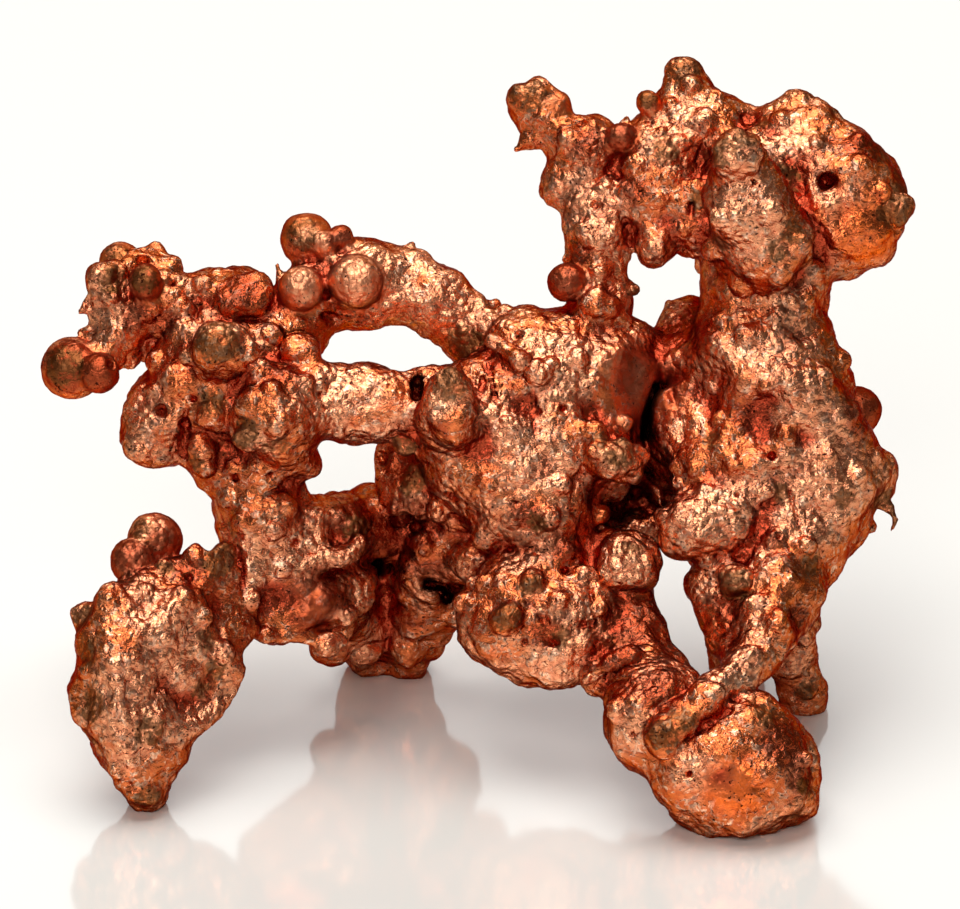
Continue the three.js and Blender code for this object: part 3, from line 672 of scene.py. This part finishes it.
def ripple(spots, size, seed):
    """Soft random waves of one size, from -1 to 1."""
    random = np.random.default_rng(seed)
    arrows = random.normal(size=(WAVE_BLOCK, WAVE_BLOCK, WAVE_BLOCK, 3)).astype(np.float32)
    arrows /= np.linalg.norm(arrows, axis=-1, keepdims=True)
    place = spots / size + WAVE_BLOCK
    corner = np.floor(place).astype(int)
    share = (place - corner).astype(np.float32)
    ease = share * share * share * (share * (share * 6 - 15) + 10)
    total = np.zeros(len(spots), dtype=np.float32)
    for i, j, k in np.ndindex(2, 2, 2):
        there = (corner + (i, j, k)) % WAVE_BLOCK
        lean = arrows[there[:, 0], there[:, 1], there[:, 2]]
        rise = ((share - (i, j, k)) * lean).sum(axis=1)
        total += rise * np.abs(1 - i - ease[:, 0]) * np.abs(1 - j - ease[:, 1]) * np.abs(1 - k - ease[:, 2])
    return total * 1.5


def cobbles(spots, size, seed):
    """Round bumps packed side by side: 1 on top of each, falling to 0 in the creases between them."""
    random = np.random.default_rng(seed)
    scatter = random.random(size=(WAVE_BLOCK, WAVE_BLOCK, WAVE_BLOCK, 3)).astype(np.float32)
    place = spots / size + WAVE_BLOCK
    corner = np.floor(place).astype(int)
    nearest = np.full(len(spots), 9.0, dtype=np.float32)
    for offset in np.ndindex(3, 3, 3):
        there = corner + offset - 1
        held = there % WAVE_BLOCK
        away = there + scatter[held[:, 0], held[:, 1], held[:, 2]] - place
        nearest = np.minimum(nearest, (away * away).sum(axis=1))
    return np.maximum(1 - nearest, 0)


def near_any(spots, places, spread):
    """1 inside any of the balls listed, falling to 0 over the spread given."""
    mask = np.zeros(len(spots), dtype=np.float32)
    for across, up, depth, radius in places:
        away = np.linalg.norm(spots - (across, depth, up), axis=1)
        mask = np.maximum(mask, np.clip((radius + spread - away) / spread, 0, 1))
    return mask


def near_front(spots, places, spread):
    """The same for balls that are given on the front skin."""
    found = [(across, up, on_front(across, up)[1], radius) for across, up, radius in places]
    return near_any(spots, found, spread)


def thickness_around(reach):
    """How much metal lies around each spot: over a half in the hollows, under a half on the knobs."""
    coarse = (field[::2, ::2, ::2] < 0).astype(np.float32)
    width = int(round(reach / (2 * GRAIN)))
    for axis in (0, 1, 2, 0, 1, 2):
        pad = [(0, 0)] * 3
        pad[axis] = (width + 1, width)
        total = np.cumsum(np.pad(coarse, pad), axis=axis)
        high = np.take(total, range(2 * width + 1, total.shape[axis]), axis=axis)
        low = np.take(total, range(0, total.shape[axis] - 2 * width - 1), axis=axis)
        coarse = (high - low) / (2 * width + 1)
    return coarse


out = outward(spots)
bead_skin = near_any(spots, smooth_balls, 0.25)
worn_and_lit_skin = near_front(spots, worn_and_lit_spots, 1.2)
floor_glow_skin = near_front(spots, floor_glow_spots, 0.9)
calm_skin = near_front(spots, calm_spots, 1.0)

# the skin's own relief, from big lumps to fine crinkles: heights and widths in mm, and a seed for each
warp = 0.5 * np.stack([ripple(spots, 1.6, seed) for seed in (11, 12, 13)], axis=1)
busy = 0.45 + 0.55 * np.clip(ripple(spots, 5.0, 6) * 2 + 0.6, 0, 1)
lumps = 0.30 * ripple(spots, 2.6, 1) + 0.22 * ripple(spots, 1.4, 2)
on_knobs = near_front(spots, small_knobs, 0.2)
packed = 0.30 * (cobbles(spots + warp, 1.5, 5) - 0.7) + 0.16 * (cobbles(spots + warp, 0.8, 8) - 0.7)
knobby = busy * (1 - 0.5 * on_knobs) * packed
crinkles = 0.06 * (0.4 - np.abs(ripple(spots + warp, 0.9, 3)))
crinkles += 0.10 * (cobbles(spots + 0.3 * warp, 0.55, 4) - 0.7)
lift = (1 - 0.8 * bead_skin) * lumps + (1 - 0.5 * bead_skin) * (1 - 0.65 * calm_skin) * (knobby + crinkles)
spots = spots + out * lift[:, None]

close_metal = read_cells(thickness_around(0.5), spots, 2 * GRAIN)
wide_metal = read_cells(thickness_around(2.0), spots, 2 * GRAIN)
stand = face_to_stand(spots)
stand[:, 2] = np.maximum(stand[:, 2], 0)


def make_mesh(name, spots, corners):
    mesh = bpy.data.meshes.new(name)
    mesh.from_pydata(spots.tolist(), [], corners.tolist())
    mesh.update()
    return mesh


def paint(mesh, name, values):
    """Keeps one number at each corner of the mesh for the material to read."""
    layer = mesh.attributes.new(name, "FLOAT", "POINT")
    layer.data.foreach_set("value", np.ascontiguousarray(values, dtype=np.float32))


mesh = make_mesh("nugget_skin", stand * METRE, quads)
paint(mesh, "close_metal", close_metal)
paint(mesh, "wide_metal", wide_metal)
paint(mesh, "tarnish", near_front(spots, tarnish_spots, 0.5))
paint(mesh, "red_film_and_shade", near_front(spots, film_and_shade_spots, 0.9))
# painted highlight as well as wear: the worn spots also mark where the light falls brightest
paint(mesh, "worn_and_lit", worn_and_lit_skin)
# painted reflection: the glow of the lit floor on the foot and the dome
paint(mesh, "orange", floor_glow_skin)
paint(mesh, "calm", np.maximum(calm_skin, 0.35 * bead_skin))
paint(mesh, "bead", bead_skin)
# painted shade: the walls of the deep gaps are painted near black
paint(mesh, "gap", near_any(spots, gap_shade_walls, 0.3))
nugget = bpy.data.objects.new("copper_nugget", mesh)
bpy.context.scene.collection.objects.link(nugget)
thin = nugget.modifiers.new("thin", "DECIMATE")
thin.ratio = MOST_FACES / (2 * len(quads))
settled = nugget.evaluated_get(bpy.context.evaluated_depsgraph_get())
mesh = bpy.data.meshes.new_from_object(settled)
nugget.modifiers.clear()
nugget.data = mesh
mesh.polygons.foreach_set("use_smooth", [True] * len(mesh.polygons))

copper = bpy.data.materials.new("native_copper")
copper.use_nodes = True
tree = copper.node_tree
shader = tree.nodes["Principled BSDF"]


def node(kind, settings=None, **sockets):
    """One shader node; a socket is given a number, a colour or another node's output."""
    made = tree.nodes.new("ShaderNode" + kind)
    for name, value in (settings or {}).items():
        setattr(made, name, value)
    for name, value in sockets.items():
        socket = made.inputs[int(name[1:])] if name[1:].isdigit() else made.inputs[name.replace("_", " ")]
        if isinstance(value, bpy.types.NodeSocket):
            tree.links.new(value, socket)
        else:
            socket.default_value = value
    return made


def maths(operation, a, b=0.0, c=0.0):
    return node("Math", {"operation": operation}, _0=a, _1=b, _2=c).outputs[0]


def step_up(value, low, high):
    """0 below the low value, 1 above the high one, smooth between."""
    made = node("MapRange", {"interpolation_type": "SMOOTHSTEP"}, Value=value, From_Min=low, From_Max=high)
    return made.outputs["Result"]


def blend(share, under, over):
    return node("Mix", {"data_type": "RGBA"}, _0=share, _6=under, _7=over).outputs[2]


def kept(name):
    return node("Attribute", {"attribute_name": name}).outputs["Fac"]


where = node("TexCoord").outputs["Object"]


def noise(size, detail=3.0, roughness=0.55, distortion=0.0):
    """Random cloudy pattern with waves of the given size in mm."""
    return node("TexNoise", Vector=where, Scale=1000.0 / size, Detail=detail, Roughness=roughness,
                Distortion=distortion).outputs["Fac"]


BRIGHT_COPPER = (1.0, 0.58, 0.37, 1)
SALMON_COPPER = (0.95, 0.38, 0.19, 1)
WARM_COPPER = (0.70, 0.17, 0.052, 1)
ORANGE_FLOOR_GLOW = (0.93, 0.17, 0.03, 1)
RED_PATINA_AND_SHADE = (0.46, 0.06, 0.024, 1)
RED_FILM_AND_SHADE = (0.28, 0.036, 0.014, 1)
BROWN_OXIDE = (0.21, 0.046, 0.014, 1)
OLIVE_TARNISH = (0.15, 0.057, 0.017, 1)
DARK_PIT_AND_GAP_SHADE = (0.03, 0.006, 0.003, 1)
EDGE_COPPER = (0.30, 0.08, 0.04, 1)
EDGE_SHADE = (0.20, 0.03, 0.012, 1)
PEBBLE = 0.4                 # width of the fine pebbles on the skin, mm
RELIEF = 0.00013             # height of the finest relief, m
POLISH = 0.27                # roughness of bare metal
DULLING = 0.14               # how much rougher tarnish and film are

broad = noise(3.4, 2.0)
clouds = noise(1.1, 4.0, 0.6, 0.4)
mottle = noise(0.38, 3.0, 0.58, 0.8)
fine = noise(0.15, 3.0, 0.6)
pebbles = node("TexVoronoi", Vector=where, Scale=1000.0 / PEBBLE).outputs["Distance"]
close = kept("close_metal")
wide = kept("wide_metal")
tarnish_mark = kept("tarnish")
film_and_shade_mark = kept("red_film_and_shade")
worn_and_lit = kept("worn_and_lit")
orange = kept("orange")
bead = kept("bead")

# copper: salmon where it is worn and where highlights are painted, darker where it is not, with bright
# flecks, and orange spots that paint the glow of the lit floor's reflection
wear_and_highlight = step_up(maths("MULTIPLY_ADD", worn_and_lit, 0.16, maths("MULTIPLY_ADD", clouds, 0.5, broad)), 0.68, 0.88)
metal = blend(wear_and_highlight, WARM_COPPER, SALMON_COPPER)
flecks = maths("ADD", maths("MULTIPLY", fine, 0.5), mottle)
flecks = maths("MULTIPLY_ADD", clouds, 0.3, flecks)
flecks = maths("MULTIPLY_ADD", bead, -0.10, flecks)
metal = blend(step_up(flecks, 0.92, 1.08), metal, BRIGHT_COPPER)
# painted reflection: the orange glow of the lit floor on the foot and the dome's lower side
metal = blend(maths("MULTIPLY", orange, 0.85), metal, ORANGE_FLOOR_GLOW)

# red in the hollows and fine creases, partly red patina and partly painted shade, and a darker red film
# on the beads and marked spots, which on some spots is painted shade too
hollow_patina_and_shade = step_up(maths("MULTIPLY_ADD", wide, 0.45, close), 0.70, 0.90)
film_and_shade = maths("MULTIPLY_ADD", maths("ADD", mottle, clouds), 0.9, film_and_shade_mark)
film_and_shade = maths("MULTIPLY_ADD", bead, 0.2, film_and_shade)
film_and_shade = step_up(maths("MULTIPLY_ADD", worn_and_lit, -0.3, film_and_shade), 1.22, 1.90)
# painted shade: the creases between the pebbles are reddened and darkened like the hollows
creases = maths("MULTIPLY", step_up(pebbles, 0.42, 0.72), maths("MULTIPLY_ADD", kept("calm"), -0.35, 0.35))
metal = blend(maths("MAXIMUM", hollow_patina_and_shade, creases), metal, RED_PATINA_AND_SHADE)
# painted shade on some spots: the dark red film colour also darkens parts that lie in shadow
metal = blend(maths("MULTIPLY", film_and_shade, 0.8), metal, RED_FILM_AND_SHADE)

# brown oxide in fine islands, olive where it has gone further
islands = maths("ADD", maths("MULTIPLY", clouds, 0.4), maths("MULTIPLY", mottle, 0.6))
oxide = step_up(maths("MULTIPLY_ADD", broad, 0.3, islands), 0.66, 0.80)
oxide = maths("MULTIPLY", oxide, maths("MULTIPLY_ADD", worn_and_lit, -0.65, 0.75))
metal = blend(oxide, metal, BROWN_OXIDE)
patches = maths("MULTIPLY_ADD", fine, 0.4, maths("MULTIPLY_ADD", tarnish_mark, 0.34, islands))
tarnish = step_up(patches, 0.90, 1.04)
metal = blend(maths("MULTIPLY", tarnish, 0.8), metal, OLIVE_TARNISH)

# dark specks where the skin is pricked with pits, and near-black painted shade on the deep gaps' walls
specks = step_up(maths("ADD", fine, maths("MULTIPLY", clouds, 0.4)), 0.83, 0.90)
metal = blend(maths("MAXIMUM", specks, kept("gap")), metal, DARK_PIT_AND_GAP_SHADE)

# painted shade: the skin is darkened and reddened where it is seen edge on
edge_on = step_up(node("LayerWeight", Blend=0.5).outputs["Facing"], 0.35, 0.95)
metal = blend(maths("MULTIPLY", edge_on, 0.55), metal, EDGE_SHADE)
tree.links.new(metal, shader.inputs["Base Color"])

dull = maths("MAXIMUM", maths("MULTIPLY", oxide, 0.7), tarnish)
dull = maths("MAXIMUM", dull, maths("MULTIPLY", bead, 0.9))
dull = maths("MAXIMUM", dull, kept("calm"))
tree.links.new(maths("MULTIPLY_ADD", dull, DULLING, POLISH), shader.inputs["Roughness"])
shader.inputs["Metallic"].default_value = 1.0
shader.inputs["Specular Tint"].default_value = EDGE_COPPER


# relief too fine for the mesh: pebbles, stronger in some places, with mottle and fine grain over them
height = maths("MULTIPLY", maths("SUBTRACT", 0.5, pebbles), step_up(broad, 0.30, 0.62))
height = maths("MULTIPLY_ADD", height, 0.8, maths("MULTIPLY", maths("SUBTRACT", 0.5, pebbles), 0.3))
height = maths("MULTIPLY_ADD", maths("SUBTRACT", mottle, 0.5), 0.8, height)
height = maths("MULTIPLY_ADD", maths("SUBTRACT", fine, 0.5), 0.2, height)
calm = maths("MULTIPLY", kept("calm"), 0.7)
height = maths("MULTIPLY", height, maths("SUBTRACT", 1.0, calm))
height = maths("MULTIPLY_ADD", specks, -0.2, height)
bump = node("Bump", Height=height, Strength=1.0, Distance=RELIEF)
tree.links.new(bump.outputs["Normal"], shader.inputs["Normal"])

mesh.materials.clear()
mesh.materials.append(copper)
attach(nugget, "root")
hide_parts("nugget")


# ---------------------------------------------------------------------------------------------------
# Floor
# A glossy white sheet, big enough to fill the view. The nugget stands on it with five low points: the
# foot, the tip of the left leg, and three behind.
# ---------------------------------------------------------------------------------------------------

FLOOR_HALF = 1.5             # m
FLOOR_WHITE = (0.86, 0.84, 0.785, 1)

floor_mesh = bpy.data.meshes.new("floor")
floor_mesh.from_pydata(
    [(-FLOOR_HALF, -FLOOR_HALF, 0), (FLOOR_HALF, -FLOOR_HALF, 0),
     (FLOOR_HALF, FLOOR_HALF, 0), (-FLOOR_HALF, FLOOR_HALF, 0)], [], [(0, 1, 2, 3)])
floor = bpy.data.objects.new("floor", floor_mesh)
bpy.context.scene.collection.objects.link(floor)
white = bpy.data.materials.new("white_sheet")
white.use_nodes = True
sheet = white.node_tree.nodes["Principled BSDF"]
sheet.inputs["Base Color"].default_value = FLOOR_WHITE
sheet.inputs["Roughness"].default_value = 0.10
sheet.inputs["IOR"].default_value = 3.0
floor_mesh.materials.append(white)


# ---------------------------------------------------------------------------------------------------
# Lights and camera
# A wide soft box overhead, a smaller one above the camera, and a long one behind that whitens the
# floor, in a dim room.
# ---------------------------------------------------------------------------------------------------

ROOM_WHITE = (1.0, 0.99, 0.97, 1)
ROOM_LIGHT = 0.11
MIDDLE = (0, 0, 0.015)       # what the lights are aimed at, m

scene = bpy.context.scene
scene.view_settings.view_transform = "Standard"
world = bpy.data.worlds.new("room")
world.use_nodes = True
room = world.node_tree.nodes["Background"]
room.inputs["Color"].default_value = ROOM_WHITE
room.inputs["Strength"].default_value = ROOM_LIGHT
scene.world = world


def soft_box(name, place, aim, size, watts):
    """A rectangular lamp at a place in metres, turned to face the aim."""
    lamp = bpy.data.lights.new(name, "AREA")
    lamp.shape = "RECTANGLE"
    lamp.size, lamp.size_y = size
    lamp.energy = watts
    box = bpy.data.objects.new(name, lamp)
    box.location = place
    towards = np.array(aim) - np.array(place)
    flat = math.hypot(towards[0], towards[1])
    box.rotation_euler = (math.atan2(flat, -towards[2]), 0, math.atan2(-towards[0], towards[1]))
    scene.collection.objects.link(box)


soft_box("top_box", (-0.03, 0.04, 0.45), MIDDLE, (0.38, 0.34), 2.25)
soft_box("front_box", (-0.06, -0.40, 0.32), MIDDLE, (0.28, 0.20), 0.95)
soft_box("back_box", (0.0, 0.62, 0.26), MIDDLE, (1.3, 0.5), 1.6)

SENSOR = 36.0                # width of the camera's sensor, mm
EYE = 0.5                    # from the face plane to the camera, m
VIEW_WIDTH = 0.04394         # what the frame takes in at the face plane, m
AIM = (0.23, 0.0, 17.28)     # middle of the frame on the face, mm

camera_data = bpy.data.cameras.new("camera")
camera_data.sensor_width = SENSOR
camera_data.lens = SENSOR * EYE / VIEW_WIDTH
camera_data.clip_start = 0.01
camera_data.clip_end = 10.0
camera = bpy.data.objects.new("camera", camera_data)
aim = face_to_stand(np.array([AIM]))[0] * METRE
camera.location = (aim[0], aim[1] - EYE * math.cos(LEAN), aim[2] + EYE * math.sin(LEAN))
camera.rotation_euler = (math.pi / 2 - LEAN, 0, 0)
scene.collection.objects.link(camera)
scene.camera = camera
